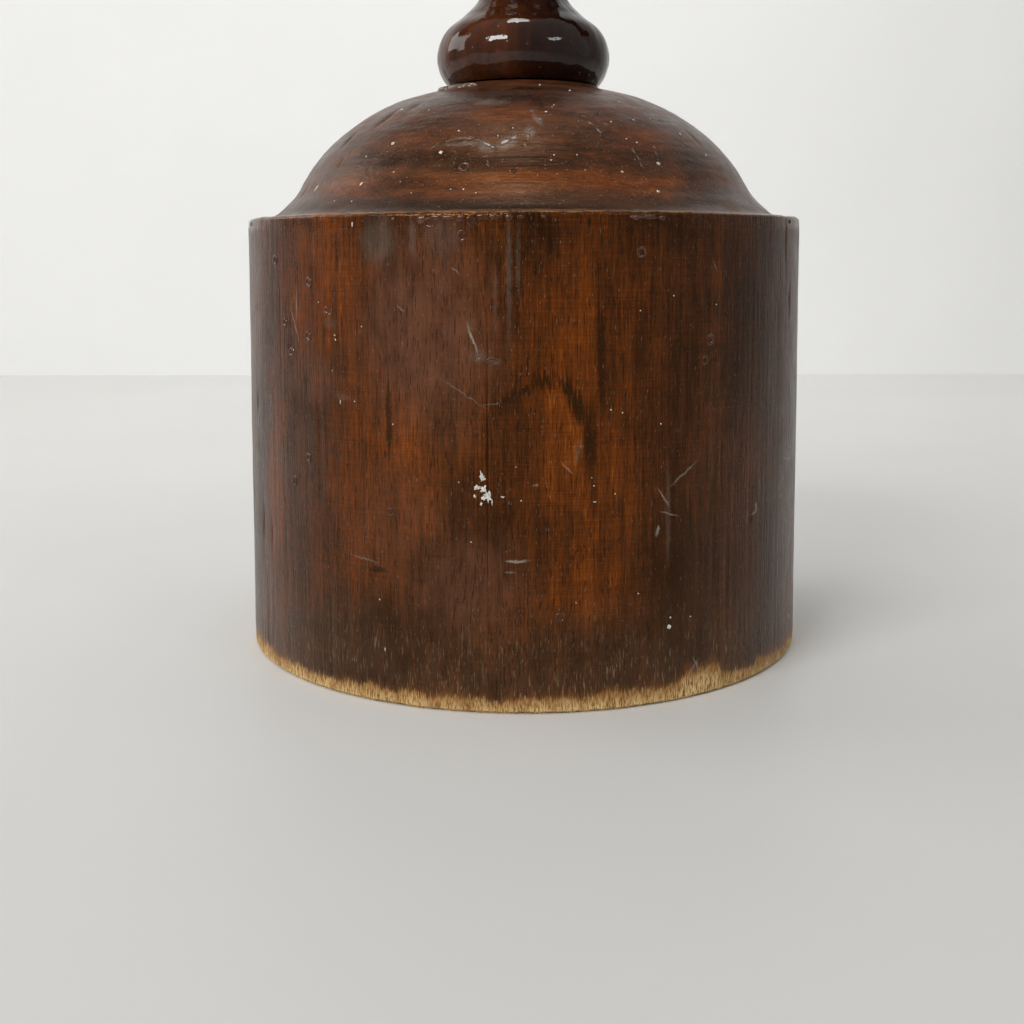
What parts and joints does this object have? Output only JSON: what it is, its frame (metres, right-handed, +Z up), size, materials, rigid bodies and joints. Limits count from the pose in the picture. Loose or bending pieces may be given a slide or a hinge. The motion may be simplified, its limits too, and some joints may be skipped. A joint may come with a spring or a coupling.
{
  "type": "screw-press nutcracker",
  "caption": "Wooden screw-press nutcracker: a round planked drum with a back window over an anvil, a domed top and a turned handle whose wooden screw lowers a pressing foot.",
  "frame": {"origin": "centre of the drum's foot, on the surface that it stands on", "axes": "+Z up along the screw, -Y towards the closed front of the drum, +Y out of the arched nut window, +X to the right seen from the front"},
  "size_m": [0.2076, 0.2076, 0.315],
  "materials": {
    "drum_wood": "worn brown varnish over long-grain planks",
    "dome_wood": "brown varnish over face grain",
    "handle_wood": "glossy brown varnish on turned wood",
    "bare_wood": "oiled bare beech",
    "thread_wood": "waxed hornbeam",
    "dowel_wood": "bare birch dowel",
    "black_iron": "blackened iron, worn bright in the dish",
    "screw_steel": "plain steel, slightly dull"
  },
  "bodies": {
    "drum": {"drum_plank_1": "drum_wood", "drum_plank_2": "drum_wood", "drum_plank_3": "drum_wood", "drum_plank_4": "drum_wood", "drum_plank_5": "drum_wood", "drum_plank_6": "drum_wood", "base_plate": "bare_wood", "base_plate_screws": "screw_steel", "anvil_block": "bare_wood", "anvil_block_screw": "screw_steel", "anvil_plate": "black_iron", "anvil_plate_screws": "screw_steel", "dome_cap": "dome_wood", "dome_dowels": "dowel_wood", "thread_block": "thread_wood", "thread_block_screws": "screw_steel"},
    "pressing_foot": {"press_foot": "bare_wood", "press_plate": "black_iron", "press_plate_screws": "screw_steel"},
    "screw_and_handle": {"spindle": "thread_wood", "foot_screw": "screw_steel", "foot_washer": "screw_steel", "handle_stem": "handle_wood", "handle_pin": "dowel_wood", "cross_bar": "handle_wood", "bar_pin": "dowel_wood", "bar_knob_left": "handle_wood", "bar_knob_right": "handle_wood", "top_button": "handle_wood"}
  },
  "joints": [
    {"name": "screw_feed", "type": "slide", "parent": "drum", "child": "pressing_foot", "axis": [0, 0, 1], "range_m": [0, 0.042]},
    {"name": "screw_turn", "type": "hinge", "parent": "pressing_foot", "child": "screw_and_handle", "pos_m": [0, 0, 0], "axis": [0, 0, 1], "range_deg": [0, 1679.9]}
  ],
  "couplings": [
    {"joint": "screw_feed", "follows": "screw_turn", "m_per_rad": 0.0014324}
  ]
}
